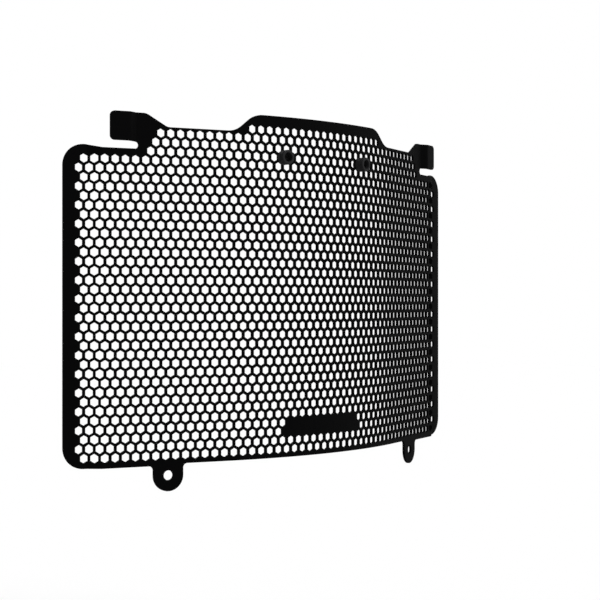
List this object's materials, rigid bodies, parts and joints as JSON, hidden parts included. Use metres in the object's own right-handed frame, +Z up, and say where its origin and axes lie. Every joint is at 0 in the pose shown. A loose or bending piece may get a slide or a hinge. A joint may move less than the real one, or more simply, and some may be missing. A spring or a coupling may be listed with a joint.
{
  "type": "motorcycle radiator guard",
  "caption": "Curved one-piece sheet guard with hexagonal openings, hook ears on its top edge, screw lugs on its bottom edge and rubber bumpers, fixed in front of a motorcycle radiator.",
  "frame": {"origin": "centre of the guard's box", "axes": "+X along the guard's width, -Y out of the bulged side that carries the bumpers, +Z up as fitted"},
  "size_m": [0.4008, 0.0624, 0.2698],
  "materials": {
    "powder_coat": "satin black powder coat on aluminium sheet",
    "rubber": "matt black moulded rubber"
  },
  "bodies": {
    "root": {"guard_panel": "powder_coat", "bumper_left": "rubber", "bumper_right": "rubber"}
  },
  "joints": []
}
